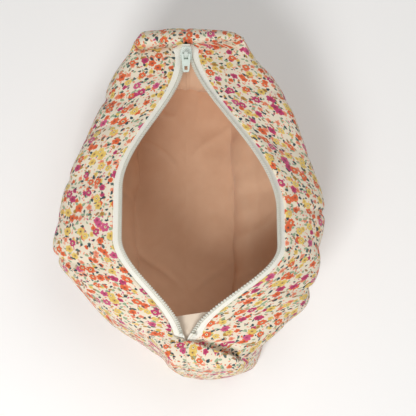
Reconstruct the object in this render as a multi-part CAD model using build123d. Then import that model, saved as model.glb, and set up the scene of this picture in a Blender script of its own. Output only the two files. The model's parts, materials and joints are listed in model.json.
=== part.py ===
from build123d import *
import math
import os

# A padded zip pouch with boxed corners, standing on its base with its mouth unzipped.
# Frame: origin at the middle of the underside, +X to the right side wall, +Y to the end where
# the slider rests, +Z up. Millimetres.

# ---- driving dimensions -------------------------------------------------------------------
REAR_Y = 112.0            # outside of the end panel behind the slider
FRONT_Y = -119.0          # outside of the opposite end panel
FRONT_SKEW = -0.10        # the front end panel is sewn a little askew: y per unit of x
FRONT_LEAN = 17.0         # the base sits this much to the right of the zip at the front end
RIM_Z = 97.0              # top of the bag along the zip
END_DROP = 1.5            # the top falls this much beyond the ends of the zip
SHOULDER = 56.0           # half width at the padded shoulder
END_SHOULDER = 35.0       # half width of the end panels
BASE = 43.0               # half width of the base
END_BASE = 33.0           # half width of the base at the end panels
TAPE_EDGE = 11.0          # fabric edge beside the zip, from the middle of the zip
END_EDGE = 6.5            # the same at the ends of the zip, where the fabric closes in
EDGE_TURN = 26.0          # length over which it closes in
EDGE_GAP = 0.5            # space between fabric edge and zip tape
MOUTH_FRONT = -102.0      # ends of the slot between the fabric edges
MOUTH_REAR = 101.0

MIDDLE_X = 5.79           # the middle of the bag's box, which becomes the origin
MIDDLE_Y = -5.85

HINGE_X = 42.0            # each side wall folds outward about a line low in the wall
HINGE_Z = 4.0
LEFT_OPEN = 23.8          # degrees that each wall leans out of the closed shape
RIGHT_OPEN = 33.7
LEFT_BEND = (-107.5, -36.0, -9.0, 93.0)     # y of no bend, full bend, full bend, no bend
RIGHT_BEND = (-109.0, -43.0, -15.0, 95.0)
FLOOR_TRIM = 0.4          # the underside is trimmed flat by this much
STIFF_RADIUS = 6.0        # the base corner inside this radius of the fold stays put
SOFT_RADIUS = 24.0        # beyond this radius the wall has its full bend

OUTER = (0.0, 0.8)        # depths of the layers below the outside surface
PADDING = (0.85, 2.95)
LINING = (3.0, 3.8)
SEAM = (0.2, 3.6)
BINDING_DEPTH = 3.9
HALF_GAP = 0.4            # half the space between the left and right halves
SEAM_HALF = 0.3

FLAP_INNER = 11.0         # the moving wall starts at this radius from its fold
FLAP_REACH = 125.0
FLAP_FOOT = (-81.0, 88.0)
FLAP_RIM = (-50.0, -10.0)
FLAP_FLOOR = 6.0
CUT = 0.35                # clearance all round the moving wall

ZIP_STEPS = 24
TAPE_THICK = 0.6
TAPE_INNER = 1.6
COIL_X = 1.9
COIL_R = 1.1
COIL_LIFT = 0.3
TAPE_ENDS = (-100.6, 99.6)
COIL_ENDS = (-97.0, 94.0)
BOTTOM_STOP_Y = 98.0
TOP_STOP_Y = -99.4
STOP_LIFT = 1.9           # height of the stops' middle above the tape
END_TAB_Y = -101.9

SLIDER_Y = 91.5           # middle of the slider with the zip open
BODY_LENGTH = 10.4
BODY_WIDTH = 8.0
PLATE = 1.2
PLATE_GAP = 3.8
FLANGE = 0.9
PIVOT_FORWARD = 1.5       # the pull tab's pin is this far forward of the middle
PIVOT_RISE = 6.4          # and this far above the zip plane
PIN_R = 0.55
EYE_GAP = 0.3
CAP_WIDTH = 2.4
TAB_WIDTH = 6.0
TAB_TIP_WIDTH = 4.2
TAB_LENGTH = 12.0
TAB_THICK = 1.3
TAB_DROOP = 15.0

STATIONS = (-119, -118, -116, -112, -106, -98, -88, -76, -62, -46, -30, -14, 2, 18, 34, 50,
            65, 78, 89, 98, 104, 108, 111, 112)


# ---- shape of the bag ---------------------------------------------------------------------
def smooth(value):
    t = min(max(value, 0.0), 1.0)
    return t * t * (3.0 - 2.0 * t)


def bend(y, side):
    """Share of the full opening angle that a wall has at y."""
    none_front, full_front, full_rear, none_rear = LEFT_BEND if side < 0 else RIGHT_BEND
    rear = smooth((none_rear - y) / (none_rear - full_rear))
    front = smooth((y - none_front) / (full_front - none_front))
    return min(rear, front)


def opened(x, z, y, side):
    """A point of the zipped shape, x out from the middle, leaned out with its wall."""
    dx = x - HINGE_X
    dz = z - HINGE_Z
    grip = smooth((math.hypot(dx, dz) - STIFF_RADIUS) / (SOFT_RADIUS - STIFF_RADIUS))
    limit = LEFT_OPEN if side < 0 else RIGHT_OPEN
    angle = math.radians(limit) * bend(y, side) * grip
    turned_x = dx * math.cos(angle) + dz * math.sin(angle)
    turned_z = dz * math.cos(angle) - dx * math.sin(angle)
    return side * (HINGE_X + turned_x), HINGE_Z + turned_z


def end_share(y):
    """0 along the bag and 1 at the end panels."""
    return max(smooth((y - 62.0) / (REAR_Y - 62.0)), front_share(y))


def front_share(y):
    return smooth((-80.0 - y) / (-80.0 - FRONT_Y))


def fabric_edge(y):
    """Distance of the fabric edge from the middle of the zip."""
    reach = min(MOUTH_REAR - y, y - MOUTH_FRONT)
    return END_EDGE + (TAPE_EDGE - END_EDGE) * smooth(reach / EDGE_TURN)


def end_round(y):
    """How far the outline draws in over the rounded edge of an end panel."""
    reach = min(REAR_Y - y, y - FRONT_Y)
    return 4.0 * (1.0 - smooth(reach / 6.0))


def half_outline(y, side, inset):
    """Points of one half of the section at y, from the fabric edge down to the base."""
    share = end_share(y)
    drawn = end_round(y) + inset
    shoulder = SHOULDER + (END_SHOULDER - SHOULDER) * share - drawn
    base = BASE + (END_BASE - BASE) * share - drawn
    top = RIM_Z - END_DROP * smooth(share * 2.0 - 1.0) - drawn
    points = [
        (fabric_edge(y), top),
        (shoulder - 18.0, top - 1.0),
        (shoulder - 7.0, top - 4.5),
        (shoulder - 1.2, top - 12.0),
        (shoulder, top - 22.0),
        (0.5 * (shoulder + base) + 4.0, 0.5 * RIM_Z),
        (base + 4.0, 18.0),
        (base + 1.5, 7.0 + 0.5 * inset),
        (base - 3.0, 0.8 + inset),
        (base - 9.0, inset - FLOOR_TRIM),
    ]
    return [opened(x, z, y, side) for x, z in points]


def place(point, y):
    """A section point in space, on the plane of its station."""
    x, z = point
    x += FRONT_LEAN * front_share(y) * max(1.0 - z / RIM_Z, 0.0)
    return Vector(x, y + FRONT_SKEW * front_share(y) * x, z)


def section(y, inset):
    """Closed wire round the bag at y, closed over the mouth."""
    right = [place(p, y) for p in half_outline(y, 1, inset)]
    left = [place(p, y) for p in half_outline(y, -1, inset)]
    lid = Edge.make_line(left[0], right[0])
    right_side = Edge.make_spline(right)
    floor = Edge.make_line(right[-1], left[-1])
    left_side = Edge.make_spline(left[::-1])
    return Wire([lid, right_side, floor, left_side])


def hull(inset):
    """Solid of the whole bag, drawn in by inset all round."""
    middle = 0.5 * (REAR_Y + FRONT_Y)
    half = 0.5 * (REAR_Y - FRONT_Y)
    squeeze = (half - inset) / half
    wires = []
    for y in STATIONS:
        wire = section(y, inset)
        wires.append(wire.moved(Location((0, (middle - y) * (1.0 - squeeze), 0))))
    return Solid.make_loft(wires, ruled=True) & slab(-200, 200, z_low=inset)


def zip_stations(ends):
    """Places along the zip where its edges are worked out, and both ends."""
    step = (MOUTH_REAR - MOUTH_FRONT) / ZIP_STEPS
    inner = [MOUTH_FRONT + step * i for i in range(1, ZIP_STEPS)]
    return [ends[0]] + [y for y in inner if ends[0] + 1.0 < y < ends[1] - 1.0] + [ends[1]]


def mouth_cutter():
    """Prism through the top between the two fabric edges."""
    stations = zip_stations((MOUTH_FRONT, MOUTH_REAR))
    right = [place(opened(fabric_edge(y), RIM_Z, y, 1), y) for y in stations]
    left = [place(opened(fabric_edge(y), RIM_Z, y, -1), y) for y in stations]
    around = [Vector(p.X, p.Y, 70.0) for p in right + left[::-1]]
    return extrude(Face(Wire.make_polygon(around, close=True)), amount=60.0, dir=(0, 0, 1))


def slab(x_low, x_high, y_low=-200.0, y_high=200.0, z_low=-50.0, z_high=200.0):
    size = (x_high - x_low, y_high - y_low, z_high - z_low)
    centre = (0.5 * (x_low + x_high), 0.5 * (y_low + y_high), 0.5 * (z_low + z_high))
    return Pos(*centre) * Box(*size)


def flap_zone(side, grow):
    """Solid of revolution about the fold line that the moving wall always stays inside."""
    x = side * HINGE_X
    foot_front, foot_rear = FLAP_FOOT
    rim_front, rim_rear = FLAP_RIM
    corners = [
        (x + FLAP_INNER - grow, foot_front - grow),
        (x + FLAP_INNER - grow, foot_rear + grow),
        (x + FLAP_REACH, rim_rear + grow),
        (x + FLAP_REACH, rim_front - grow),
    ]
    outline = Wire.make_polygon([Vector(a, b, HINGE_Z) for a, b in corners], close=True)
    fold = Axis((x, 0, HINGE_Z), (0, 1, 0))
    zone = revolve(Face(outline), axis=fold, revolution_arc=360)
    return zone & slab(-200, 200, z_low=FLAP_FLOOR - grow)


def layer(depths):
    return hull(depths[0]) - hull(depths[1]) - mouth_cutter()


def halves(shell):
    """Left and right halves of a layer, sewn together at the middle seams."""
    return {-1: shell & slab(-200, -HALF_GAP), 1: shell & slab(HALF_GAP, 200)}


def layer_parts(name, depths):
    """Standing and moving parts of one layer, for both halves."""
    parts = {}
    for side, half in halves(layer(depths)).items():
        word = "left" if side < 0 else "right"
        parts[f"{name}_{word}_body"] = half - flap_zone(side, CUT)
        parts[f"{name}_{word}_wall"] = half & flap_zone(side, 0.0)
    return parts


# ---- seams --------------------------------------------------------------------------------
def seams():
    """Stitched seams that join the halves under the base and up the ends."""
    shell = layer(SEAM) & slab(-SEAM_HALF, SEAM_HALF)
    low = 5.0
    return {
        "seam_base": shell & slab(-9, 9, z_high=low),
        "seam_rear_end": shell & slab(-9, 9, y_low=0.0, z_low=low),
        "seam_front_end": shell & slab(-9, 9, y_high=0.0, z_low=low),
    }


def corner_bindings():
    """Bound allowances of the boxed corners, across each end under the top."""
    height = 12.0
    thick = 1.6
    top = RIM_Z - END_DROP
    room = hull(BINDING_DEPTH)
    bar = Box(70.0, thick, height)
    turn = math.degrees(math.atan(FRONT_SKEW))
    rear = Pos(0, MOUTH_REAR + 1.5, top - height / 2) * bar
    front = Pos(0, MOUTH_FRONT - 2.0, top - height / 2) * Rot(0, 0, turn) * bar
    return {"corner_binding_rear": rear & room, "corner_binding_front": front & room}


# ---- zip ----------------------------------------------------------------------------------
def tape(side):
    """Woven tape from the fabric edge to the coil."""
    low = RIM_Z - TAPE_THICK
    wires = []
    for y in zip_stations(TAPE_ENDS):
        outer = fabric_edge(y) - EDGE_GAP
        corners = [(TAPE_INNER, low), (outer, low), (outer, RIM_Z), (TAPE_INNER, RIM_Z)]
        points = [place(opened(x, z, y, side), y) for x, z in corners]
        wires.append(Wire.make_polygon(points, close=True))
    return Solid.make_loft(wires, ruled=True)


def coil(side):
    """Coil of teeth sewn along the inner edge of the tape, as one round strand."""
    z = RIM_Z + COIL_R + COIL_LIFT
    wires = []
    for y in zip_stations(COIL_ENDS):
        points = []
        for k in range(8):
            a = math.radians(45.0 * k + 22.5)
            spot = opened(COIL_X + COIL_R * math.cos(a), z + COIL_R * math.sin(a), y, side)
            points.append(place(spot, y))
        wires.append(Wire.make_polygon(points, close=True))
    return Solid.make_loft(wires, ruled=True)


def stops():
    """Clamped stops at both ends of the coil and the tab sewn over the tape ends."""
    z = RIM_Z + STOP_LIFT
    parts = {"bottom_stop": Pos(0, BOTTOM_STOP_Y, z) * Box(5.0, 1.6, 2.4)}
    for side, word in ((-1, "left"), (1, "right")):
        spot = place(opened(COIL_X, z, TOP_STOP_Y, side), TOP_STOP_Y)
        parts[f"top_stop_{word}"] = Pos(*spot) * Box(2.0, 2.2, 2.4)
    parts["zip_end_tab_front"] = Pos(0, END_TAB_Y, z) * Box(12.0, 1.0, 0.9)
    return parts


def plate(z):
    """Shield-shaped plate of the slider, broad at the opening end."""
    half = BODY_WIDTH / 2
    length = BODY_LENGTH / 2
    sketch = Polyline(
        (-half + 1.0, length),
        (half - 1.0, length),
        (half, 0.5),
        (half, -length + 2.0),
        (half - 2.0, -length),
        (-half + 2.0, -length),
        (-half, -length + 2.0),
        (-half, 0.5),
        close=True,
    )
    return Pos(0, SLIDER_Y, z) * extrude(make_face(sketch), amount=PLATE)


def slider_body():
    """Two plates round the coil, a wedge between them and guiding flanges behind it."""
    zip_z = RIM_Z + COIL_R
    low = zip_z - PLATE_GAP / 2 - PLATE
    high = zip_z + PLATE_GAP / 2
    body = plate(low) + plate(high)
    wedge = Pos(0, SLIDER_Y - BODY_LENGTH / 2 + 2.4, zip_z) * Box(1.0, 3.2, PLATE_GAP + 0.4)
    body += wedge
    for side in (-1, 1):
        x = side * (BODY_WIDTH / 2 - 0.45)
        y = SLIDER_Y + 2.0
        rail = Box(0.7, 3.6, FLANGE)
        body += Pos(x, y, high - FLANGE / 2) * rail
    return body


def lock_cap():
    """Bridge over the top plate that holds the pin of the pull tab."""
    foot = RIM_Z + COIL_R + PLATE_GAP / 2 + PLATE
    pin_z = RIM_Z + PIVOT_RISE
    y = SLIDER_Y - PIVOT_FORWARD
    reach = 2.1
    height = pin_z + 1.5 - foot
    block = Pos(0, y, foot + height / 2) * Box(CAP_WIDTH, 2 * reach, height)
    block = fillet(block.edges().filter_by(Axis.X).group_by(Axis.Z)[-1], 1.1)
    hole = Pos(0, y, pin_z) * Rot(0, 90, 0) * Cylinder(PIN_R + EYE_GAP, 2 * CAP_WIDTH)
    return block - hole


def pull_tab():
    """Flat tab with two arms and a pin through the bridge."""
    arm_x = CAP_WIDTH / 2 + EYE_GAP
    arm_width = TAB_WIDTH / 2 - arm_x
    pin = Rot(0, 90, 0) * Cylinder(PIN_R, TAB_WIDTH)
    clear = 3.4
    blade_length = TAB_LENGTH - clear
    outline = Polyline(
        (-TAB_WIDTH / 2, -clear),
        (TAB_WIDTH / 2, -clear),
        (TAB_TIP_WIDTH / 2, -clear - blade_length),
        (-TAB_TIP_WIDTH / 2, -clear - blade_length),
        close=True,
    )
    blade = Pos(0, 0, -TAB_THICK / 2) * extrude(make_face(outline), amount=TAB_THICK)
    blade = fillet(blade.edges().filter_by(Axis.Z).group_by(Axis.Y)[0], 1.1)
    window = Pos(0, -TAB_LENGTH + 2.8, 0) * Box(2.2, 2.6, 2 * TAB_THICK)
    tab = blade - window + pin
    for side in (-1, 1):
        x = side * (arm_x + arm_width / 2)
        tab += Pos(x, -clear / 2, 0) * Box(arm_width, clear + 0.4, TAB_THICK)
        tab += Pos(x, 0, 0) * Rot(0, 90, 0) * Cylinder(TAB_THICK / 2, arm_width)
    place_at = Pos(0, SLIDER_Y - PIVOT_FORWARD, RIM_Z + PIVOT_RISE)
    return place_at * Rot(TAB_DROOP, 0, 0) * tab


def build():
    parts = {}
    parts.update(layer_parts("outer", OUTER))
    parts.update(layer_parts("padding", PADDING))
    parts.update(layer_parts("lining", LINING))
    parts.update(seams())
    parts.update(corner_bindings())
    for side, word in ((-1, "left"), (1, "right")):
        parts[f"zip_tape_{word}"] = tape(side)
        parts[f"zip_coil_{word}"] = coil(side)
    parts.update(stops())
    parts["slider_body"] = slider_body()
    parts["slider_bridge"] = lock_cap()
    parts["pull_tab"] = pull_tab()
    return parts


os.makedirs("parts", exist_ok=True)
for node, shape in build().items():
    shape = Pos(-MIDDLE_X, -MIDDLE_Y, 0) * shape
    export_step(shape, f"parts/{node}.step")
    print(node, len(shape.solids()), round(shape.volume))
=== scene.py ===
import bpy
import json
import math
import numpy as np
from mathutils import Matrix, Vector


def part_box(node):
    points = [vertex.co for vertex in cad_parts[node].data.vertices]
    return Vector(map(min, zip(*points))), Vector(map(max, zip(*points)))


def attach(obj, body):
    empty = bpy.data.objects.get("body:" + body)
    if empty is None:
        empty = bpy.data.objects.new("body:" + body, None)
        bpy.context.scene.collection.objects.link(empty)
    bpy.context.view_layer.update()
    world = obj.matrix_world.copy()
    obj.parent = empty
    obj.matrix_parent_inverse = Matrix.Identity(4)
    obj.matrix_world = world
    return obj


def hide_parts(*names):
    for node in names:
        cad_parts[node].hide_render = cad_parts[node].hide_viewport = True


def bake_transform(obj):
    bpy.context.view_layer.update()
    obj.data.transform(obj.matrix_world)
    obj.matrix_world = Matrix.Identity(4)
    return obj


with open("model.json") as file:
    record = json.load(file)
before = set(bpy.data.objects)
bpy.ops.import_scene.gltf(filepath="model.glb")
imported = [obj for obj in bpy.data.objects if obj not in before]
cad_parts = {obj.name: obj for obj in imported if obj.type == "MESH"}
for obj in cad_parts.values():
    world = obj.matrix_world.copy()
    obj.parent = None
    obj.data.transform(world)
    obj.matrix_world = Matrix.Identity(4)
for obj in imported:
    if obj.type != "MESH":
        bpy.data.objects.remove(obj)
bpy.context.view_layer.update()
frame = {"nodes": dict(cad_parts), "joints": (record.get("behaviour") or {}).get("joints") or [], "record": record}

MM = 0.001

# ---- places read from the frame, in millimetres -------------------------------------------
JOINTS = {joint["name"]: joint for joint in frame["joints"]}
RATIOS = {c["joint"]: c["ratio"] for c in frame["record"]["behaviour"]["couplings"]}
TRAVEL = JOINTS["slider_travel"]["range_m"][1]


def middle(node):
    low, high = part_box(node)
    return [0.5 * (a + b) / MM for a, b in zip(low, high)]


ZIP_X, SLIDER_Y, _ = middle("slider_body")
LEFT_HINGE, RIGHT_HINGE = (JOINTS[side + "_wall_close"]["pos_m"] for side in ("left", "right"))
HINGE_X = 0.5 * (RIGHT_HINGE[0] - LEFT_HINGE[0]) / MM
HINGE_Z = RIGHT_HINGE[2] / MM
OPEN = {-1: RATIOS["left_wall_close"] * TRAVEL, 1: RATIOS["right_wall_close"] * TRAVEL}
WORD = {-1: "left", 1: "right"}
SLIDER_REST = 91.5                  # where the slider rests along the zip
OUT_Y = SLIDER_Y - SLIDER_REST      # the zip frame's origin, in the row's frame

# ---- driving dimensions, in the zip's frame: x from the zip, y along it, mm ----------------
REAR_Y = 112.0
FRONT_Y = -119.0
END_FILLET = 9.0
PLAN_ROUND = 0.4                    # share of the fillet that draws the corners in, seen from above
TOP_Z = 98.3                        # padded top beside the zip
TAPE_Z = 96.8
EDGE = 7.6                          # fabric edge
MOUTH = (-101.0, 99.5)
BEND = {-1: (-104.0, -36.5, -4.0, 90.0), 1: (-105.0, -42.0, -18.0, 102.0)}
SPLIT_Y = -27.0                     # both walls have their full bend here
STIFF_RADIUS = 6.0                  # cloth this near the hinge line stays put
SOFT_WIDTH = 18.0                   # and over this much more it comes to its full bend
CLOTH = 0.7
WADDING_DEPTH = 0.9
WADDING_THICK = 1.4
LINING_DEPTH = 3.4
LINING_THICK = 0.5
TAPE_THICK = 0.42
FRONT_LEAN = 15.0                   # the base is this much to the right of the zip at the front
FRONT_SKEW = 0.10                   # and the front end panel is sewn a little askew
FRONT_BULGE = 5.0
FRONT_CORNER = 6.0                  # the foot's corners stand this much further back
REAR_BULGE = 1.5
ROLL_RISE = {"rear": 2.2, "front": 0.5}

# Half width of each side at the padded shoulder and at the base, zipped shut: (y, millimetres)
SHOULDER_LINE = {
    -1: (
        (-119, 13), (-110, 18), (-101, 31), (-92, 44), (-82, 51), (-62, 56), (-44, 61),
        (-22, 58), (0, 54), (30, 50), (70, 54), (90, 48), (102, 38.5), (112, 35),
    ),
    1: (
        (-119, 35), (-108, 42), (-95, 55), (-82, 63), (-62, 55), (-44, 48), (-20, 52),
        (10, 54), (40, 58), (70, 61), (90, 53), (102, 44), (112, 39.5),
    ),
}
BASE_LINE = {
    -1: ((-119, 21), (-108, 26), (-96, 34), (-70, 42), (0, 43), (70, 42), (112, 36)),
    1: ((-119, 36), (-100, 41), (-70, 43), (0, 43), (70, 42), (112, 36)),
}


def smooth(t):
    t = np.clip(t, 0.0, 1.0)
    return t * t * (3.0 - 2.0 * t)


def bend_share(y, side):
    none_front, full_front, full_rear, none_rear = BEND[side]
    rear = smooth((none_rear - y) / (none_rear - full_rear))
    front = smooth((y - none_front) / (full_front - none_front))
    return np.minimum(rear, front)


def opened(x, z, y, side):
    """Leans points of the zipped shape out with their wall. x is out from the zip's plane."""
    dx = x - HINGE_X
    dz = z - HINGE_Z
    grip = smooth((np.hypot(dx, dz) - STIFF_RADIUS) / SOFT_WIDTH) * smooth((z - 2.0) / 9.0)
    angle = OPEN[side] * bend_share(y, side) * grip
    cos, sin = np.cos(angle), np.sin(angle)
    return side * (HINGE_X + dx * cos + dz * sin), HINGE_Z + dz * cos - dx * sin


def to_row(points):
    """Zip frame in millimetres to the row's frame in metres."""
    return (points + np.array([ZIP_X, OUT_Y, 0.0])) * MM


# ---- soft variation -----------------------------------------------------------------------
def noise(u, v, cell_u, cell_v, seed):
    """Smooth value noise in -1..1 over a plane."""
    lattice = np.random.default_rng(seed).uniform(-1.0, 1.0, (64, 64))
    a, b = u / cell_u + 17.0, v / cell_v + 11.0
    i, j = np.floor(a).astype(int), np.floor(b).astype(int)
    s, t = smooth(a - i), smooth(b - j)
    pick = lambda di, dj: lattice[(i + di) % 64, (j + dj) % 64]
    low = pick(0, 0) * (1 - s) + pick(1, 0) * s
    high = pick(0, 1) * (1 - s) + pick(1, 1) * s
    return low * (1 - t) + high * t


# ---- sections -----------------------------------------------------------------------------
def spline_weights(knots, samples):
    """Matrix that takes values at the knots to a natural cubic spline's values at the samples."""
    n = len(knots)
    h = np.diff(knots)
    system = np.eye(n)
    right = np.zeros((n, n))
    for i in range(1, n - 1):
        system[i, i - 1 : i + 2] = h[i - 1], 2 * (h[i - 1] + h[i]), h[i]
        right[i, i - 1 : i + 2] = 6 / h[i - 1], -6 / h[i - 1] - 6 / h[i], 6 / h[i]
    second = np.linalg.solve(system, right)
    k = np.clip(np.searchsorted(knots, samples, side="right") - 1, 0, n - 2)
    a = (knots[k + 1] - samples) / h[k]
    b = 1.0 - a
    weights = np.zeros((len(samples), n))
    rows = np.arange(len(samples))
    weights[rows, k] += a
    weights[rows, k + 1] += b
    curve = h[k] ** 2 / 6
    before = ((a**3 - a) * curve)[:, None] * second[k]
    beyond = ((b**3 - b) * curve)[:, None] * second[k + 1]
    return weights + before + beyond


def line_at(line, y):
    """Smooth curve through the points of a line."""
    places, values = np.array(line, float).T
    return spline_weights(places, y) @ values


def slot_share(y):
    """1 along the mouth and 0 where the halves are sewn together."""
    return smooth((y - MOUTH[0] + 2.0) / 4.0) * smooth((MOUTH[1] + 2.0 - y) / 4.0)


def squareness(y):
    """1 at the end rolls, which turn down sharply, and 0 along the padded walls."""
    return 0.6 * smooth((y - 90.0) / 12.0) + 0.45 * smooth((-102.0 - y) / 10.0)


def outline(y, side):
    """Control points (rows, points, 2) of the half section, from the fabric edge to the base seam."""
    shoulder = line_at(SHOULDER_LINE[side], y)
    base = line_at(BASE_LINE[side], y)
    top = TOP_Z + 0 * y
    slot = slot_share(y)
    edge = EDGE * slot
    narrow = np.clip(shoulder / 36.0, 0.3, 1.0)
    soft = narrow * (1.0 - squareness(y))
    steep = 0.6 + 0.4 * soft
    sewn = narrow * (1.0 - slot)
    lid = np.minimum(EDGE + 4.6, 0.42 * shoulder)
    points = [
        (edge + 0.9 * slot, top - 2.9 * slot),
        (edge - 0.3 * slot + 2.4 * sewn, top - 2.0 * slot),
        (edge - 0.3 * slot + 4.8 * sewn, top - 0.8 * slot),
        (edge + 0.8 * slot + 7.4 * sewn, top),
        (lid, top + 0.4),
        (lid + 0.45 * (shoulder - 12.0 * soft - lid), top + 0.1),
        (shoulder - 12.0 * soft, top - 2.2 * soft),
        (shoulder - 5.0 * soft, top - 6.6 * steep),
        (shoulder - 1.1 * soft, top - 13.5 * steep),
        (shoulder, top - 23.0 * steep),
        (0.5 * (shoulder + base) + 3.6, 0.5 * top + 2.0),
        (base + 3.8, 20.0 + 0 * y),
        (base + 2.2, 9.0 + 0 * y),
        (base + 0.2, 3.2 + 0 * y),
        (0.88 * base, 0.3 + 0 * y),
        (0.65 * base, 0 * y),
        (0 * y, 0 * y),
    ]
    return np.stack([np.stack(p, -1) for p in points], 1)


KNOTS = np.array([0, 1.3, 2.6, 4.3, 8.6, 19, 30, 39, 47, 58, 79, 108, 119, 126, 133, 143, 174], float)
FLOOR_KNOT = 13                     # the wall ends and the base begins here


def column_samples(count_rim, count_wall, count_base):
    rim = np.linspace(KNOTS[0], KNOTS[4], count_rim, endpoint=False)
    wall = np.linspace(KNOTS[4], KNOTS[FLOOR_KNOT], count_wall, endpoint=False)
    base = np.linspace(KNOTS[FLOOR_KNOT], KNOTS[-1], count_base)
    return np.concatenate([rim, wall, base]), count_rim + count_wall


def row_plan(step):
    """Rows along the bag: y, how far the section is drawn in there, and its scale on the end caps."""
    fillet = np.linspace(0.0, 0.5 * math.pi, 11)[1:]
    caps = np.array([0.94, 0.86, 0.76, 0.64, 0.5, 0.36, 0.22, 0.1, 0.03, 0.004])
    start, stop = FRONT_Y + END_FILLET, REAR_Y - END_FILLET
    near_front, near_rear = -93.0, 92.0
    middle = np.linspace(near_front, near_rear, int((near_rear - near_front) / step))
    front = np.linspace(start, near_front, 20)
    rear = np.linspace(near_rear, stop, 14)
    body = np.unique(np.round(np.concatenate([front, middle, rear, [SPLIT_Y]]), 3))
    y = list(body)
    drawn = [0.0] * len(y)
    scale = [1.0] * len(y)
    for angle in fillet:
        for end, sign in ((REAR_Y, 1), (FRONT_Y, -1)):
            place = end - sign * END_FILLET * (1 - math.sin(angle))
            index = len(y) if sign > 0 else 0
            y.insert(index, place)
            drawn.insert(index, END_FILLET * (1 - math.cos(angle)))
            scale.insert(index, 1.0)
    for s in caps:
        for end, sign in ((REAR_Y, 1), (FRONT_Y, -1)):
            index = len(y) if sign > 0 else 0
            y.insert(index, end)
            drawn.insert(index, END_FILLET)
            scale.insert(index, s)
    return np.array(y), np.array(drawn), np.array(scale)


# Creases in the top, where an end roll meets the walls: start and end in the zip's frame, the
# depths there, how steep they are on the roll's side and how wide on the wall's side
CREASES = (
    ((0.0, 100.6), (-33.0, 99.5), 3.0, 10.0, 1.3, 5.0),
    ((0.0, 100.6), (36.0, 104.0), 3.0, 10.0, 1.3, 5.0),
    ((33.5, -114.5), (-4.0, -99.6), 11.0, 1.5, 1.0, 6.0),
)
LAP_AT = 2.2                        # the rolls lap furthest this far beyond their crease

# Creases in the padded walls, in cloth coordinates: ends (y, distance from the fabric edge), the
# depth at each end and the half width
DENTS = {
    -1: (
        ((-41, 60), (-55, 12), 4.6, 1.2, 2.6),
        ((66, 52), (56, 14), 2.4, 0.7, 3.2),
        ((12, 54), (0, 14), 2.2, 0.6, 3.0),
        ((-84, 58), (-66, 18), 3.0, 0.8, 3.2),
        ((-26, 66), (-18, 24), 2.0, 0.5, 3.4),
        ((38, 40), (46, 6), 1.2, 1.0, 2.4),
    ),
    1: (
        ((-13, 58), (-16, 6), 4.4, 1.4, 2.2),
        ((-66, 56), (-70, 12), 4.6, 1.0, 2.8),
        ((-44, 60), (-34, 16), 2.4, 0.7, 3.4),
        ((60, 56), (72, 14), 2.4, 0.6, 3.4),
        ((-88, 50), (-80, 14), 2.6, 0.7, 2.8),
        ((22, 54), (30, 12), 2.0, 0.7, 3.2),
    ),
}


def dents(y, v, side):
    total = np.zeros_like(y)
    for (y0, v0), (y1, v1), depth0, depth1, wide in DENTS[side]:
        dy, dv = y1 - y0, v1 - v0
        span = math.hypot(dy, dv)
        t = ((y - y0) * dy + (v - v0) * dv) / span**2
        away = np.abs((y - y0) * dv - (v - v0) * dy) / span
        ends = smooth((t + 0.35) / 0.35) * smooth((1.15 - t) / 0.3)
        sharp = np.exp(-(np.sqrt(away**2 + 0.6) - 0.77) / wide)
        total += (depth0 + (depth1 - depth0) * np.clip(t, 0, 1)) * ends * sharp
    return total


def creases(x, y):
    """How deep the creases are, and how far the rolls beyond them lap over them."""
    total = np.zeros_like(x)
    lap = np.zeros_like(x)
    for (x0, y0), (x1, y1), depth0, depth1, steep, wide in CREASES:
        dx, dy = x1 - x0, y1 - y0
        span = math.hypot(dx, dy)
        t = ((x - x0) * dx + (y - y0) * dy) / span**2
        beyond = (y - y0 - dy * t) * np.sign(y0)
        away = np.abs((x - x0) * dy - (y - y0) * dx) / span
        width = np.where(beyond > 0, steep, wide)
        ends = smooth((t + 0.04) / 0.08) * smooth((1.10 - t) / 0.14)
        depth = (depth0 + (depth1 - depth0) * np.clip(t, 0, 1)) * ends
        total = np.maximum(total, depth * np.exp(-away / width))
        reach = np.clip(beyond, 0.0, None) / LAP_AT
        lap = np.maximum(lap, depth * reach * np.exp(1.0 - reach))
    return total, lap


def lining_slack(along, down, seed):
    """How much further in than usual the loose lining stands, most in the corner of the floor."""
    coarse = noise(along, down, 34.0, 30.0, seed + 20)
    fine = noise(along, down, 11.0, 21.0, seed + 21)
    corner = np.exp(-(((down - 117.0) / 11.0) ** 2)) * (1.0 + noise(along, down, 23.0, 60.0, seed + 22))
    ridge = (1.0 - np.abs(noise(along + 0.6 * down, down, 31.0, 37.0, seed + 23))) ** 5
    return 1.9 * coarse + 0.8 * fine + 2.4 * corner + 1.6 * ridge


def lining_fold(points):
    """The lining is looser than the bag, and falls in at both ends of the mouth."""
    y, z = points[..., 1], points[..., 2]
    rear = 27.0 * smooth((y - 52.0) / 46.0) * np.exp(-(((z - 62.0) / 21.0) ** 2))
    front = 9.0 * smooth((-88.0 - y) / 20.0) * np.exp(-(((z - 66.0) / 20.0) ** 2))
    return rear - front


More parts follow.
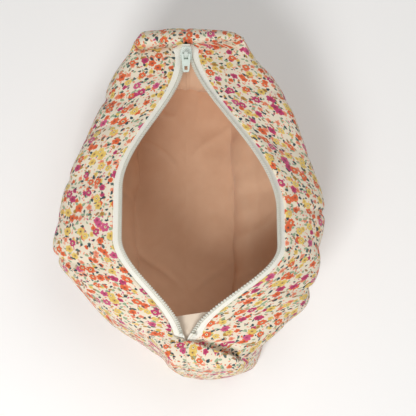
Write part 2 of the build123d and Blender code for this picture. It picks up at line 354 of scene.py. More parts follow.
def outer_points(side, rows, samples, seed):
    """Points (rows, columns, 3) of the printed cloth's face on one half of the bag."""
    y, drawn, scale = rows
    weights = spline_weights(KNOTS, samples)
    flat = np.einsum("ck,rkd->rcd", weights, outline(y, side))
    x, z = flat[..., 0], flat[..., 1]
    middle_z, half_height = 46.0, 49.0
    width = np.maximum(np.max(x, 1, keepdims=True), 1.0)
    shrink = 1.0 - PLAN_ROUND * drawn[:, None] / width
    rise = 1.0 - drawn[:, None] / half_height
    x = x * shrink * scale[:, None]
    z = middle_z + (z - middle_z) * rise * scale[:, None]
    yy = np.repeat(y[:, None], x.shape[1], 1)
    front = smooth((-80.0 - yy) / (-80.0 - FRONT_Y))
    half = np.maximum(width[:, 0], 20.0)[:, None]
    # the end panels bulge, the front one most at its foot, and the rolls above them stand up
    crown = np.clip(1.0 - (x / half) ** 2, 0.0, 1.0)
    foot = smooth((-104.0 - yy) / 15.0) * smooth((94.0 - z) / 40.0)
    yy = yy - (FRONT_BULGE * crown - FRONT_CORNER * (1.0 - crown)) * foot
    yy = yy + REAR_BULGE * smooth((yy - 100.0) / 12.0) * crown
    on_top = smooth((z - 78.0) / 12.0)
    z = z + ROLL_RISE["rear"] * on_top * smooth((yy - 99.0) / 4.0)
    z = z + ROLL_RISE["front"] * on_top * smooth((-103.0 - yy) / 5.0)
    ox, oz = opened(x, z, yy, side)
    ox = ox + FRONT_LEAN * front * (1.0 - oz / TOP_Z)
    yy = yy - FRONT_SKEW * ox * front * oz / TOP_Z
    down = np.repeat(samples[None, :], x.shape[0], 0)
    top_only = smooth((KNOTS[8] - down) / 10.0) * scale[:, None]
    depth, lap = creases(ox, yy)
    oz = oz - (depth - 0.25 * lap) * top_only
    yy = yy - np.sign(yy) * 0.38 * lap * top_only
    seam = np.exp(-np.abs(x) / 0.9) * (1.0 - slot_share(y))[:, None] * smooth((z - 3.0) / 4.0)
    points = np.stack([ox, yy, oz], -1)
    free = smooth((down - 6.0) / 14.0) * (1.0 - smooth((down - 112.0) / 10.0))
    rim_pucker = smooth((down - 2.0) / 5.0) * smooth((34.0 - down) / 24.0)
    lift = 1.6 * noise(yy, down, 30.0, 24.0, seed) * free
    lift += 0.8 * noise(yy, down, 13.0, 17.0, seed + 1) * free
    lift += 0.55 * noise(yy, down, 7.0, 26.0, seed + 2) * rim_pucker
    lift -= dents(yy, down, side)
    lift = lift * smooth(1.5 * scale)[:, None] - 0.9 * seam
    return points + grid_normals(points, side) * lift[..., None]


def neighbours(grid):
    """The four neighbours of every place of a grid."""
    padded = np.pad(grid, ((1, 1), (1, 1)) + ((0, 0),) * (grid.ndim - 2), mode="edge")
    return np.stack([padded[:-2, 1:-1], padded[2:, 1:-1], padded[1:-1, :-2], padded[1:-1, 2:]])


def ways_in(points, side, rounds):
    """Unit vectors into the bag, smoothed, and in the seam's plane at the end and base seams."""
    normal = grid_normals(points, side)
    for _ in range(rounds):
        normal = neighbours(normal).mean(0)
    normal[:, -1, 0] = 0.0
    normal[slot_share(ROWS[0]) < 0.5, 0, 0] = 0.0
    return -normal / np.maximum(np.linalg.norm(normal, axis=-1, keepdims=True), 1e-9)


def beneath(outer, rounds, most):
    """The cloth's points, lowered at the ends so that a layer under it spans the creases there."""
    spanning = outer.copy()
    for _ in range(rounds):
        spanning[..., 2] = np.minimum(spanning[..., 2], neighbours(spanning[..., 2]).min(0))
    spanning[..., 2] = np.maximum(spanning[..., 2], outer[..., 2] - most)
    at_end = smooth((np.abs(outer[..., 1]) - 90.0) / 8.0) * smooth((outer[..., 2] - 78.0) / 18.0)
    return outer * (1.0 - at_end[..., None]) + spanning * at_end[..., None]


def lining_points(outer, side, rows, samples, seed):
    """The lining: sewn under the tape at the mouth, loose below it, and folding in at the ends."""
    under = beneath(outer, 5, 10.0)
    way_in = ways_in(under, side, 6)
    points = under + way_in * LINING_DEPTH
    down = np.repeat(samples[None, :], len(points), 0)
    y = np.repeat(rows[0][:, None], len(samples), 1)
    rim_x, rim_z = opened(EDGE - 0.2 + down, TAPE_Z - 0.7 - 0.02 * down**2, y, side)
    rim = np.stack([rim_x, y, rim_z], -1)
    near_rim = ((1.0 - smooth((down - 2.0) / 12.0)) * slot_share(y))[..., None]
    points = points * (1.0 - near_rim) + rim * near_rim
    below_rim = 1.0 - (1.0 - smooth((down - 8.0) / 10.0)) * slot_share(y)
    off_seams = smooth(down / 14.0) * smooth((KNOTS[-1] - down) / 16.0)
    off_seams = off_seams * smooth(1.5 * rows[2])[:, None]
    slack = 2.7 + lining_slack(points[..., 1], down, seed) * off_seams
    points = points + way_in * (slack * below_rim)[..., None]
    points[..., 1] -= lining_fold(points)
    return points


def cloth_places(points, side):
    """Cloth coordinates in mm: along the wall and down it, and flat across the end panels."""
    along = np.linalg.norm(np.diff(points, axis=0), axis=-1)
    down = np.linalg.norm(np.diff(points, axis=1), axis=-1)
    u = np.concatenate([[0.0], np.cumsum(along[:, 12:50].mean(1))]) + 350.0 * (side + 1)
    v = np.concatenate([np.zeros((len(points), 1)), np.cumsum(down, 1)], 1)
    wall = np.stack([np.repeat(u[:, None], points.shape[1], 1), v], -1)
    end = np.stack([points[..., 0] + np.sign(points[..., 1]) * 400.0, points[..., 2]], -1)
    return wall, end


def grid_normals(points, side):
    du = np.gradient(points, axis=0)
    dv = np.gradient(points, axis=1)
    normal = np.cross(du, dv) * -side
    length = np.linalg.norm(normal, axis=-1, keepdims=True)
    return normal / np.maximum(length, 1e-9)


# ---- meshes -------------------------------------------------------------------------------
def make_object(name, verts, faces, loop_uv=None, loop_normals=None, material=None):
    mesh = bpy.data.meshes.new(name)
    mesh.from_pydata([tuple(v) for v in verts], [], faces)
    if loop_uv is not None:
        layer = mesh.uv_layers.new(name="cloth")
        layer.data.foreach_set("uv", np.asarray(loop_uv, float).ravel())
    mesh.shade_smooth()
    if loop_normals is not None:
        mesh.normals_split_custom_set([tuple(n) for n in loop_normals])
    obj = bpy.data.objects.new(name, mesh)
    bpy.context.scene.collection.objects.link(obj)
    if material:
        mesh.materials.append(material)
    return obj


def cloth_shell(name, points, uv, normals, thick, rows, cols, side, material, on_end=None):
    """Closed thin cloth from rows and columns of a grid, its outer face on the points.

    uv may be a pair of grids; the second is used where on_end is true, on the end panels."""
    uv, end_uv = uv if isinstance(uv, tuple) else (uv, uv)
    r0, r1 = rows
    c0, c1 = cols
    outer = points[r0:r1, c0:c1]
    unit = normals[r0:r1, c0:c1]
    inner = outer - unit * thick
    nr, nc = outer.shape[:2]
    verts = np.concatenate([outer.reshape(-1, 3), inner.reshape(-1, 3)])
    flat_n = unit.reshape(-1, 3)
    flat_uv = uv[r0:r1, c0:c1].reshape(-1, 2) * MM
    flat_end = end_uv[r0:r1, c0:c1].reshape(-1, 2) * MM
    count = nr * nc
    i = np.arange(count).reshape(nr, nc)
    quads = np.stack([i[:-1, :-1], i[1:, :-1], i[1:, 1:], i[:-1, 1:]], -1).reshape(-1, 4)
    if side > 0:
        quads = quads[:, ::-1]
    ring = np.concatenate([i[0, :-1], i[:-1, -1], i[-1, :0:-1], i[:0:-1, 0]])
    after = np.roll(ring, -1)
    walls = np.stack([ring, after, after + count, ring + count], -1)
    if side > 0:
        walls = walls[:, ::-1]
    faces = np.concatenate([quads, quads[:, ::-1] + count, walls])
    loops = faces.ravel()
    both_uv = np.concatenate([flat_uv, flat_uv])[loops].reshape(-1, 4, 2)
    if on_end is not None:
        flat = on_end[r0:r1, c0:c1].ravel()
        shown = np.concatenate([flat, flat])[faces].sum(1) >= 3
        both_uv[shown] = np.concatenate([flat_end, flat_end])[faces[shown]]
    both_n = np.concatenate([flat_n, -flat_n])
    loop_n = both_n[loops].reshape(-1, 4, 3)
    corner = verts[walls]
    across = np.cross(corner[:, 2] - corner[:, 0], corner[:, 3] - corner[:, 1])
    across = across / np.maximum(np.linalg.norm(across, axis=-1, keepdims=True), 1e-12)
    loop_n[-len(walls) :] = across[:, None, :]
    loop_uv, loop_n = both_uv.reshape(-1, 2), loop_n.reshape(-1, 3)
    return make_object(name, to_row(verts), faces.tolist(), loop_uv, loop_n, material)


# ---- shader graphs ------------------------------------------------------------------------
class Graph:
    """A material's node graph with short calls for the usual nodes."""

    def __init__(self, name, color, rough):
        self.material = bpy.data.materials.new(name)
        self.material.use_nodes = True
        self.nodes = self.material.node_tree.nodes
        self.links = self.material.node_tree.links
        self.shader = self.nodes["Principled BSDF"]
        self.shader.inputs["Base Color"].default_value = (*color, 1)
        self.shader.inputs["Roughness"].default_value = rough

    def put(self, socket, value):
        if isinstance(value, bpy.types.NodeSocket):
            self.links.new(value, socket)
        else:
            socket.default_value = value

    def node(self, kind, inputs=None, **settings):
        node = self.nodes.new(kind)
        for key, value in settings.items():
            setattr(node, key, value)
        for key, value in (inputs or {}).items():
            self.put(node.inputs[key], value)
        return node

    def math(self, operation, *values):
        node = self.node("ShaderNodeMath", operation=operation)
        for socket, value in zip(node.inputs, values):
            self.put(socket, value)
        return node.outputs[0]

    def vector(self, operation, *values):
        node = self.node("ShaderNodeVectorMath", operation=operation)
        for socket, value in zip(node.inputs, values):
            self.put(socket, value)
        return node.outputs["Value" if operation in ("LENGTH", "DOT_PRODUCT") else "Vector"]

    def step(self, value, low, high):
        node = self.node("ShaderNodeMapRange", interpolation_type="SMOOTHSTEP")
        for key, item in (("Value", value), ("From Min", low), ("From Max", high)):
            self.put(node.inputs[key], item)
        return node.outputs[0]

    def mix(self, share, first, second, blend="MIX"):
        node = self.node("ShaderNodeMix", data_type="RGBA", blend_type=blend)
        self.put(node.inputs[0], share)
        self.put(node.inputs[6], first)
        self.put(node.inputs[7], second)
        return node.outputs[2]

    def ramp(self, value, colors, constant=True):
        node = self.node("ShaderNodeValToRGB", {"Fac": value})
        node.color_ramp.interpolation = "CONSTANT" if constant else "LINEAR"
        stops = node.color_ramp.elements
        while len(stops) < len(colors):
            stops.new(0.5)
        for stop, (place, color) in zip(stops, colors):
            stop.position = place
            stop.color = (*color, 1)
        return node.outputs["Color"]

    def noise(self, vector, scale, detail=2.0):
        inputs = {"Vector": vector, "Scale": scale, "Detail": detail}
        return self.node("ShaderNodeTexNoise", inputs).outputs["Fac"]

    def cloth(self):
        """The cloth's own coordinates in millimetres."""
        place = self.node("ShaderNodeUVMap", uv_map="cloth").outputs["UV"]
        return self.in_millimetres(place)

    def in_millimetres(self, place):
        inputs = {0: place, "Scale": 1.0 / MM}
        return self.node("ShaderNodeVectorMath", inputs, operation="SCALE").outputs["Vector"]

    def bump(self, height, strength, distance):
        inputs = {"Height": height, "Strength": strength, "Distance": distance}
        return self.node("ShaderNodeBump", inputs).outputs["Normal"]


def rgb(code):
    """Linear colour from a hex colour."""
    parts = [int(code[i : i + 2], 16) / 255 for i in (0, 2, 4)]
    return tuple(c / 12.92 if c <= 0.04045 else ((c + 0.055) / 1.055) ** 2.4 for c in parts)


ORANGE, CORAL, RASPBERRY, PINK = rgb("E0683A"), rgb("EA9070"), rgb("BE3C6C"), rgb("CC5582")
YELLOW, MUSTARD, BROWN = rgb("E3C468"), rgb("B68D42"), rgb("9C7850")
TEAL, GREY_GREEN, SAGE = rgb("31464B"), rgb("55655F"), rgb("93A988")
CREAM = rgb("E6DAC4")
VEIN_TINT, HEART_TINT = (0.42, 0.16, 0.1, 1), (0.45, 0.12, 0.06, 1)


def cell(g, place, size, offset, spread=0.85):
    """Random cells: offset from each cell's point in mm, and three random numbers of the cell."""
    moved = g.vector("ADD", place, (offset * 37.0, offset * 53.0, 0.0))
    cells = g.node("ShaderNodeTexVoronoi", {"Vector": moved, "Scale": 1.0 / size, "Randomness": spread})
    cells.voronoi_dimensions = "2D"
    away = g.vector("SUBTRACT", moved, cells.outputs["Position"])
    flat = g.vector("MULTIPLY", away, (1.0, 1.0, 0.0))
    chance = g.node("ShaderNodeSeparateColor", {0: cells.outputs["Color"]})
    return flat, chance.outputs[0], chance.outputs[1], chance.outputs[2]


def flowers(g, under, place, size, offset, radius, share, palette, petals, eyes=True):
    """Round blossoms of a few petals, with a dark or pale eye, over the colour under."""
    away, chance, tone, turn = cell(g, place, size, offset)
    axis = g.node("ShaderNodeSeparateXYZ", {0: away})
    angle = g.math("ARCTAN2", axis.outputs[1], axis.outputs[0])
    span = g.vector("LENGTH", away)
    count = g.math("ROUND", g.math("MULTIPLY_ADD", turn, petals[1] - petals[0], petals[0]))
    turned = g.math("ADD", angle, g.math("MULTIPLY", turn, 40.0))
    spun = g.math("MULTIPLY", turned, g.math("MULTIPLY", count, 0.5))
    petal = g.math("POWER", g.math("ABSOLUTE", g.math("COSINE", spun)), 0.55)
    lobe = g.math("MULTIPLY_ADD", petal, 2.0, -1.0)
    wobble = g.math("MULTIPLY_ADD", g.noise(place, 0.9), 0.36, -0.18)
    big = g.math("MULTIPLY_ADD", tone, 0.3 * radius, 0.8 * radius)
    edge = g.math("MULTIPLY", big, g.math("ADD", g.math("MULTIPLY_ADD", lobe, 0.17, 0.86), wobble))
    inside = g.step(g.math("SUBTRACT", edge, span), -0.12, 0.12)
    inside = g.math("MULTIPLY", inside, g.math("LESS_THAN", chance, share))
    pick = g.math("FRACT", g.math("MULTIPLY", chance, 7.31))
    color = g.ramp(pick, palette)
    vein = g.math("MULTIPLY", g.step(lobe, 0.1, -0.9), g.step(g.math("DIVIDE", span, edge), 0.25, 0.6))
    color = g.mix(g.math("MULTIPLY", vein, 0.4), color, VEIN_TINT, "MULTIPLY")
    inner = g.step(g.math("DIVIDE", span, edge), 0.66, 0.25)
    color = g.mix(g.math("MULTIPLY", inner, 0.4), color, HEART_TINT, "MULTIPLY")
    if eyes:
        ring = g.step(g.math("DIVIDE", span, edge), 0.34, 0.26)
        pale = g.math("MULTIPLY", ring, g.math("GREATER_THAN", turn, 0.55))
        color = g.mix(pale, color, (*rgb("F3E3B8"), 1))
        color = g.mix(g.step(g.math("DIVIDE", span, edge), 0.2, 0.12), color, (*TEAL, 1))
    return g.mix(inside, under, color)


def leaves(g, under, place, size, offset, length, width, share, palette):
    """Pointed ovals lying at random angles, over the colour under."""
    away, chance, tone, turn = cell(g, place, size, offset, 0.95)
    spin = g.math("MULTIPLY", turn, 2 * math.pi)
    turned = g.node("ShaderNodeVectorRotate", {"Vector": away, "Angle": spin}, rotation_type="Z_AXIS")
    axis = g.node("ShaderNodeSeparateXYZ", {0: turned.outputs[0]})
    grow = g.math("MULTIPLY_ADD", tone, 0.5, 0.75)
    x = g.math("DIVIDE", g.math("DIVIDE", axis.outputs[0], length), grow)
    bend = g.math("MULTIPLY_ADD", g.math("MULTIPLY", x, x), -0.35 * width, axis.outputs[1])
    y = g.math("DIVIDE", g.math("DIVIDE", bend, width), grow)
    along = g.math("POWER", g.math("ABSOLUTE", x), 2.0)
    across = g.math("POWER", g.math("ABSOLUTE", y), 1.5)
    reach = g.math("ADD", along, across)
    inside = g.math("MULTIPLY", g.step(reach, 1.15, 0.85), g.math("LESS_THAN", chance, share))
    color = g.ramp(g.math("FRACT", g.math("MULTIPLY", chance, 9.17)), palette)
    return g.mix(inside, under, color)


def weave(g, place, pitch, strength, distance):
    """Plain weave: threads over and under in both directions."""
    axis = g.node("ShaderNodeSeparateXYZ", {0: place})
    wave = 2 * math.pi / pitch
    warp = g.math("SINE", g.math("MULTIPLY", axis.outputs[0], wave))
    weft = g.math("SINE", g.math("MULTIPLY", axis.outputs[1], wave))
    fuzz = g.math("MULTIPLY", g.noise(place, 1.6, 4.0), 0.8)
    height = g.math("MULTIPLY_ADD", g.math("MULTIPLY", warp, weft), 0.5, fuzz)
    return g.bump(height, strength, distance)


def printed_cotton():
    g = Graph("printed_cotton", CREAM, 0.82)
    place = g.cloth()
    wander = g.node("ShaderNodeTexNoise", {"Vector": place, "Scale": 0.35, "Detail": 2.0})
    drift = wander.outputs["Color"]
    shift = g.vector("MULTIPLY", g.vector("SUBTRACT", drift, (0.5, 0.5, 0.5)), (1.6, 1.6, 0.0))
    drawn = g.vector("ADD", place, shift)
    color = g.mix(g.noise(place, 0.05), (*CREAM, 1), (*rgb("E9DFCA"), 1))
    sprigs = [(0.0, SAGE), (0.45, BROWN), (0.65, SAGE), (0.85, MUSTARD)]
    color = leaves(g, color, drawn, 5.6, 1.3, 1.7, 0.7, 0.95, sprigs)
    dots = [(0.0, CORAL), (0.45, ORANGE), (0.6, CORAL), (0.85, PINK)]
    color = leaves(g, color, drawn, 2.9, 2.7, 0.62, 0.42, 0.6, dots)
    color = leaves(g, color, drawn, 3.9, 3.7, 0.95, 0.4, 0.6, dots)
    short = [(0.0, TEAL), (0.4, GREY_GREEN), (0.7, SAGE)]
    color = leaves(g, color, drawn, 4.9, 3.1, 1.0, 0.6, 0.66, short)
    small = [(0.0, CORAL), (0.35, YELLOW), (0.6, ORANGE), (0.8, RASPBERRY), (0.9, MUSTARD)]
    color = flowers(g, color, drawn, 7.4, 4.9, 1.8, 0.9, small, (4, 5), eyes=False)
    long = [(0.0, TEAL), (0.5, SAGE), (0.75, GREY_GREEN)]
    color = leaves(g, color, drawn, 5.2, 5.3, 1.35, 0.78, 0.72, long)
    large = [(0.0, ORANGE), (0.25, RASPBERRY), (0.42, YELLOW)]
    large += [(0.66, ORANGE), (0.76, PINK), (0.92, YELLOW)]
    color = flowers(g, color, drawn, 10.4, 6.1, 2.8, 0.9, large, (5, 7))
    color = flowers(g, color, drawn, 16.0, 7.7, 2.6, 0.9, large, (5, 6))
    g.put(g.shader.inputs["Base Color"], color)
    g.put(g.shader.inputs["Normal"], weave(g, place, 0.5, 0.25, 0.0002))
    g.shader.inputs["Sheen Weight"].default_value = 0.15
    g.put(g.shader.inputs["Roughness"], g.math("MULTIPLY_ADD", g.noise(place, 0.8), 0.16, 0.74))
    return g.material


def plain_cotton(name, color, shade, pitch=0.45, strength=0.3, rough=0.85):
    g = Graph(name, color, rough)
    place = g.cloth()
    mottled = g.mix(g.noise(place, 0.12, 4.0), (*color, 1), (*shade, 1))
    g.put(g.shader.inputs["Base Color"], mottled)
    g.put(g.shader.inputs["Normal"], weave(g, place, pitch, strength, 0.0002))
    g.put(g.shader.inputs["Roughness"], g.math("MULTIPLY_ADD", g.noise(place, 1.1), 0.14, rough - 0.07))
    g.shader.inputs["Sheen Weight"].default_value = 0.2
    return g.material


def zip_tape_cloth():
    """Woven polyester: fine ribs along the tape and a herringbone across it, with painted shade in the ribs'
    troughs and along the groove beside the coil.
    """
    g = Graph("zip_tape_cloth", rgb("F1F0E6"), 0.6)
    place = g.cloth()
    axis = g.node("ShaderNodeSeparateXYZ", {0: place})
    tooth = g.math("PINGPONG", axis.outputs[1], 1.1)
    slant = g.math("ADD", axis.outputs[0], g.math("MULTIPLY", tooth, 0.9))
    rib = g.math("SINE", g.math("MULTIPLY", slant, 2 * math.pi / 0.62))
    fuzz = g.math("MULTIPLY", g.noise(place, 2.0, 3.0), 0.6)
    height = g.math("ADD", g.math("MULTIPLY", rib, 0.5), fuzz)
    # painted shade: the ribs' troughs are coloured darker and their crests lighter
    tint = g.mix(g.step(rib, -1.0, 0.2), (*rgb("E6E5D8"), 1), (*rgb("F7F6EF"), 1))
    # painted shade: a dark olive line along the groove between the coil and the flat tape
    groove = g.step(g.math("ABSOLUTE", g.math("SUBTRACT", axis.outputs[1], 3.1)), 0.45, 0.1)
    tint = g.mix(g.math("MULTIPLY", groove, 0.55), tint, (*rgb("A09A74"), 1))
    g.put(g.shader.inputs["Base Color"], tint)
    g.put(g.shader.inputs["Normal"], g.bump(height, 0.35, 0.0003))
    g.put(g.shader.inputs["Roughness"], g.math("MULTIPLY_ADD", g.noise(place, 1.4), 0.2, 0.5))
    return g.material


def object_space(g):
    return g.in_millimetres(g.node("ShaderNodeTexCoord").outputs["Object"])


def nylon():
    g = Graph("nylon_coil", rgb("E4E4D8"), 0.35)
    place = object_space(g)
    tint = g.mix(g.noise(place, 0.4), (*rgb("F2F2EA"), 1), (*rgb("E2E1D2"), 1))
    g.put(g.shader.inputs["Base Color"], tint)
    g.put(g.shader.inputs["Roughness"], g.math("MULTIPLY_ADD", g.noise(place, 1.5), 0.2, 0.28))
    g.shader.inputs["Subsurface Weight"].default_value = 0.05
    return g.material


def enamel():
    """Glossy enamel on cast metal, a little worn to bare metal on its edges."""
    g = Graph("white_enamel", rgb("DDE8E0"), 0.22)
    place = object_space(g)
    color = g.mix(g.noise(place, 0.5, 3.0), (*rgb("E2ECE5"), 1), (*rgb("C9D8CE"), 1))
    edge = g.node("ShaderNodeNewGeometry").outputs["Pointiness"]
    worn = g.math("MULTIPLY", g.step(edge, 0.56, 0.64), g.step(g.noise(place, 1.7, 4.0), 0.52, 0.66))
    g.put(g.shader.inputs["Base Color"], g.mix(worn, color, (*rgb("A9A79E"), 1)))
    g.put(g.shader.inputs["Roughness"], g.math("MULTIPLY_ADD", g.noise(place, 0.9, 3.0), 0.18, 0.15))
    g.put(g.shader.inputs["Normal"], g.bump(g.noise(place, 2.2, 3.0), 0.12, 0.0001))
    g.shader.inputs["Coat Weight"].default_value = 0.4
    return g.material


def thread(name, color):
    g = Graph(name, color, 0.6)
    place = object_space(g)
    axis = g.node("ShaderNodeSeparateXYZ", {0: place})
    twist = g.math("SINE", g.math("MULTIPLY", g.math("ADD", axis.outputs[1], axis.outputs[0]), 14.0))
    # painted shade: the twist's hollows get a darker copy of the thread's colour
    dark = (*[c * 0.8 for c in color], 1)
    g.put(g.shader.inputs["Base Color"], g.mix(g.step(twist, -1.0, 1.0), dark, (*color, 1)))
    g.put(g.shader.inputs["Normal"], g.bump(twist, 0.3, 0.0001))
    return g.material


PRINT = printed_cotton()
LINING_CLOTH = plain_cotton("lining_cotton", rgb("EBC7A8"), rgb("E1B896"))
WADDING = plain_cotton("wadding", rgb("ECE9E2"), rgb("DAD6CC"), 1.5, 0.5, 0.95)
BINDING = plain_cotton("binding_cotton", rgb("DFCFB2"), rgb("CDBB9B"))
TAPE_CLOTH = zip_tape_cloth()
NYLON = nylon()
ENAMEL = enamel()
THREAD = thread("cream_thread", rgb("D9CFB6"))
FLAP_CLOTH = plain_cotton("flap_cotton", rgb("EFE2D0"), rgb("E6D3BD"))


# ---- the bag's cloth ----------------------------------------------------------------------
ROWS = row_plan(1.7)
SAMPLES, FLOOR_COLUMN = column_samples(9, 62, 22)
SPLIT_ROW = int(np.argmin(np.abs(ROWS[0] - SPLIT_Y)))


def rigged(piece):
    """Bakes a wall piece's transform into its mesh; its points already hold the opened bend."""
    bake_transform(piece)


def layer(name, node, side, points, normals, thick, material):
    """One layer of one half of the bag, as a base and two wall pieces, front and rear."""
    uv = cloth_places(points, side)
    on_end = (np.abs(normals[..., 1]) > 0.62) | (ROWS[2] < 1.0)[:, None]
    last_row, last_col = points.shape[:2]
    word = WORD[side]
    pieces = {
        "front": ((0, SPLIT_ROW + 1), (0, FLOOR_COLUMN + 1)),
        "rear": ((SPLIT_ROW, last_row), (0, FLOOR_COLUMN + 1)),
        "base": ((0, last_row), (FLOOR_COLUMN, last_col)),
    }
    for part, (rows, cols) in pieces.items():
        label = f"{name}_{word}_{part}"
        piece = cloth_shell(label, points, uv, normals, thick, rows, cols, side, material, on_end)
        if part == "base":
            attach(piece, "root")
            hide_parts(f"{node}_{word}_body")
        else:
            rigged(piece)
            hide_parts(f"{node}_{word}_wall")


for side in (-1, 1):
    outside = outer_points(side, ROWS, SAMPLES, 3 + side)
    layer("outer", "outer", side, outside, grid_normals(outside, side), CLOTH, PRINT)
    filled = beneath(outside, 2, 2.5) + WADDING_DEPTH * ways_in(outside, side, 0)
    layer("wadding", "padding", side, filled, -ways_in(outside, side, 6), WADDING_THICK, WADDING)
    inside = lining_points(outside, side, ROWS, SAMPLES, 3 + side)
    under = grid_normals(inside, side)
    layer("lining", "lining", side, inside, under, LINING_THICK, LINING_CLOTH)


# ---- zip ----------------------------------------------------------------------------------
def strip(name, side, part, x_values, z_values, ends, step, material):
    """A thin closed strip along the zip on one side, narrowed and sunk where its ends are sewn."""
    low, high = (ends[0], SPLIT_Y) if part == "front" else (SPLIT_Y, ends[1])
    y = np.linspace(low, high, max(8, int((high - low) / step)))
    x = np.asarray(x_values, float)
    z = np.asarray(z_values, float)
    grid_y = np.repeat(y[:, None], len(x), 1)
    sewn = smooth((y - ends[1] + 6.0) / 6.0) + smooth((ends[0] + 5.0 - y) / 5.0)
    width = 1.0 - 0.62 * sewn[:, None]
    ox, oz = opened(x[None, :] * width, z[None, :] - 0.8 * sewn[:, None], grid_y, side)
    points = np.stack([ox, grid_y, oz], -1)
    uv = np.stack([grid_y, np.repeat(x[None, :], len(y), 0)], -1)
    normals = grid_normals(points, side)
    rows, cols = (0, len(y)), (0, len(x))
    return cloth_shell(name, points, uv, normals, TAPE_THICK, rows, cols, side, material)


def tube(name, centres, frames, radius, sides, material):
    """Closed tube along centres, with a frame (two unit vectors) and maybe a radius at each."""
    a, b = frames
    turn = np.arange(sides) / sides * 2 * math.pi
    ring = a[:, None, :] * np.cos(turn)[None, :, None] + b[:, None, :] * np.sin(turn)[None, :, None]
    verts = centres[:, None, :] + ring * np.broadcast_to(radius, len(centres))[:, None, None]
    n = len(centres)
    i = np.arange(n * sides).reshape(n, sides)
    j = np.roll(i, -1, 1)
    faces = np.stack([i[:-1], j[:-1], j[1:], i[1:]], -1).reshape(-1, 4).tolist()
    faces += [i[0, ::-1].tolist(), i[-1].tolist()]
    return make_object(name, to_row(verts.reshape(-1, 3)), faces, material=material)


def frames_along(centres):
    tangent = np.gradient(centres, axis=0)
    tangent /= np.linalg.norm(tangent, axis=1, keepdims=True)
    up = np.array([0.0, 0.0, 1.0])
    a = np.cross(tangent, up)
    a /= np.maximum(np.linalg.norm(a, axis=1, keepdims=True), 1e-9)
    return a, np.cross(tangent, a)


def coil(side, part):
    """Nylon coil: an oval helix sewn to the tape's inner edge."""
    ends = (-98.5, SPLIT_Y) if part == "front" else (SPLIT_Y, 94.0)
    pitch, per_turn = 1.3, 10
    count = int((ends[1] - ends[0]) / pitch * per_turn)
    t = np.arange(count + 1)
    y = ends[0] + t * pitch / per_turn
    turn = t * 2 * math.pi / per_turn
    x = 1.5 + 1.25 * np.cos(turn) + 0.8 * smooth((-91.5 - y) / 2.0)
    z = TAPE_Z + 0.95 + 0.7 * np.sin(turn)
    ox, oz = opened(x, z, y, side)
    centres = np.stack([ox, y, oz], -1)
    piece = tube(f"zip_coil_{WORD[side]}_{part}", centres, frames_along(centres), 0.3, 6, NYLON)
    rigged(piece)
    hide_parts(f"zip_coil_{WORD[side]}")


def tape(side, part):
    x = [0.9, 1.4, 2.2, 3.1, 4.2, 5.6, 7.0, 8.6, 10.0, 11.6, 13.2]
    z = [TAPE_Z + d for d in (0.2, 0.25, 0.3, 0.12, 0.3, 0.3, 0.25, 0.1, -0.1, -0.4, -0.7)]
    name = f"zip_tape_{WORD[side]}_{part}"
    piece = strip(name, side, part, x, z, (-102.5, 100.5), 1.2, TAPE_CLOTH)
    rigged(piece)
    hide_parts(f"zip_tape_{WORD[side]}")


for side in (-1, 1):
    for part in ("front", "rear"):
        tape(side, part)
        coil(side, part)


# ---- seams and the end of the zip ---------------------------------------------------------
def spaced(path, step):
    """Points along a path at even steps."""
    run = np.concatenate([[0.0], np.cumsum(np.linalg.norm(np.diff(path, axis=0), axis=1))])
    at = np.arange(0.0, run[-1], step)
    return np.stack([np.interp(at, run, path[:, k]) for k in range(3)], 1)


def seam_thread(node, path):
    """Twisted thread that shows in the groove of a seam."""
    centres = spaced(path, 0.35)
    tangent = np.gradient(centres, axis=0)
    tangent /= np.linalg.norm(tangent, axis=1, keepdims=True)
    across = np.repeat([[1.0, 0.0, 0.0]], len(centres), 0)
    radius = 0.24 + 0.05 * np.sin(np.arange(len(centres)) * 1.9)
    piece = tube(node + "_thread", centres, (across, np.cross(tangent, across)), radius, 8, THREAD)
    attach(piece, "root")
    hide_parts(node)


def seams(points):
    """Threads up both ends, along the first column and then back along the last, and under the base."""
    y = ROWS[0]
    on_body = np.where((y > FRONT_Y + END_FILLET) & (y < REAR_Y - END_FILLET))[0]
    front = np.arange(0, np.searchsorted(y, MOUTH[0] - 2.5))
    rear = np.arange(np.searchsorted(y, MOUTH[1] + 2.5), len(y))
    seam_thread("seam_front_end", np.concatenate([points[front[::-1], 0], points[: on_body[0], -1]]))
    seam_thread("seam_rear_end", np.concatenate([points[rear, 0], points[: on_body[-1] : -1, -1]]))
    seam_thread("seam_base", points[on_body, -1])


def zip_end_flap():
    """Lining turned up under the open end of the zip, folded over on its right."""
    t, u = np.meshgrid(np.linspace(0.0, 1.0, 26), np.linspace(-1.0, 1.0, 31), indexing="ij")
    top = -87.5 + 2.2 * (u + 1.0)
    y = -103.0 + (top + 103.0) * t
    x = u * (5.0 + 0.55 * (y + 103.0)) + 1.5
    z = TAPE_Z - 4.3 - 1.0 * t**2 + 0.3 * noise(x, y, 5.0, 4.0, 40)
    z = z + 0.7 * smooth((u - 0.32 - 0.25 * t) / 0.05)
    points = np.stack([x, y, z], -1)
    normals = grid_normals(points, -1)
    uv = points[..., :2]
    piece = cloth_shell("zip_end_flap", points, uv, normals, 0.45, (0, 26), (0, 31), -1, FLAP_CLOTH)
    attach(piece, "root")
    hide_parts("zip_end_tab_front")


def corner_binding(end, y, lean, low_x, high_x, top):
    """Bound allowance of the boxed corners: a strip across one end, between cloth and lining."""
    t, u = np.meshgrid(np.linspace(0.0, 1.0, 31), np.linspace(0.0, 1.0, 9), indexing="ij")
    x = low_x + (high_x - low_x) * t
    z = top - 7.5 * u - 2.0 * (2.0 * t - 1.0) ** 2
    points = np.stack([x, y + lean * x + 0.5 * noise(x, z, 9.0, 6.0, 41), z], -1)
    normals = grid_normals(points, -1)
    uv = points[..., (0, 2)]
    name = f"corner_binding_{end}_strip"
    piece = cloth_shell(name, points, uv, normals, 1.0, (0, 31), (0, 9), -1, BINDING)
    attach(piece, "root")
    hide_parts("corner_binding_" + end)


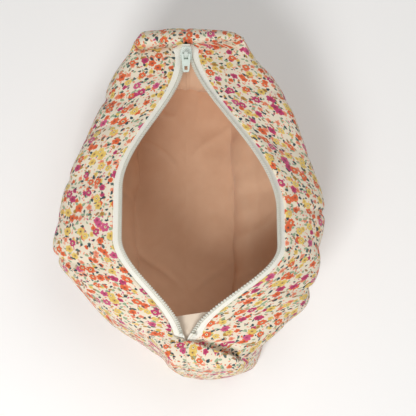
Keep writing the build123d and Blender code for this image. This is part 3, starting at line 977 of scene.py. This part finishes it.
seams(outside)
zip_end_flap()
corner_binding("front", -112.5, -0.10, -9.0, 22.0, 89.0)
corner_binding("rear", 106.0, 0.0, -20.0, 20.0, 89.0)


# ---- hardware and small parts -------------------------------------------------------------
def finish_node(node, material):
    obj = frame["nodes"][node]
    obj.data.materials.clear()
    obj.data.materials.append(material)


for node in ("slider_body", "slider_bridge", "pull_tab"):
    finish_node(node, ENAMEL)
for node in ("bottom_stop", "top_stop_left", "top_stop_right"):
    finish_node(node, NYLON)


# ---- stage, lights and camera -------------------------------------------------------------
def stage():
    bpy.ops.mesh.primitive_plane_add(size=6.0, location=(0, 0, -0.0005))
    floor = bpy.context.object
    floor.name = "stage_floor"
    g = Graph("stage_white", (0.97, 0.97, 0.97), 0.9)
    floor.data.materials.append(g.material)
    world = bpy.data.worlds.new("soft_studio")
    world.use_nodes = True
    world.node_tree.nodes["Background"].inputs["Color"].default_value = (1.0, 0.99, 0.97, 1)
    world.node_tree.nodes["Background"].inputs["Strength"].default_value = 0.33
    bpy.context.scene.world = world


def area_light(name, place, aim, size, power, color):
    data = bpy.data.lights.new(name, "AREA")
    data.size = size
    data.energy = power
    data.color = color
    light = bpy.data.objects.new(name, data)
    light.location = place
    light.rotation_euler = (Vector(aim) - Vector(place)).to_track_quat("-Z", "Y").to_euler()
    bpy.context.scene.collection.objects.link(light)


CAMERA_AIM = (0.0, -8.0, 100.0)     # in the zip's frame, mm
CAMERA_TILT = 13.0                  # degrees from straight down
CAMERA_AWAY = 0.62                  # metres


def camera():
    data = bpy.data.cameras.new("camera")
    data.sensor_width = 36.0
    data.lens = 81.3
    data.shift_x = 0.052885
    data.shift_y = -0.028846
    data.clip_start = 0.01
    cam = bpy.data.objects.new("camera", data)
    target = Vector(to_row(np.array(CAMERA_AIM)))
    tilt = math.radians(CAMERA_TILT)
    cam.location = target + Vector((0.0, -math.sin(tilt), math.cos(tilt))) * CAMERA_AWAY
    cam.rotation_euler = (tilt, 0.0, 0.0)
    bpy.context.scene.collection.objects.link(cam)
    bpy.context.scene.camera = cam


stage()
area_light("window", (-0.22, -0.66, 0.82), (0, 0, 0.05), 0.32, 6.8, (1.0, 0.99, 0.98))
area_light("overhead", (0.35, 0.35, 1.1), (0, 0, 0.05), 0.8, 3.2, (1.0, 0.98, 0.95))
camera()
bpy.context.scene.view_settings.view_transform = "Standard"
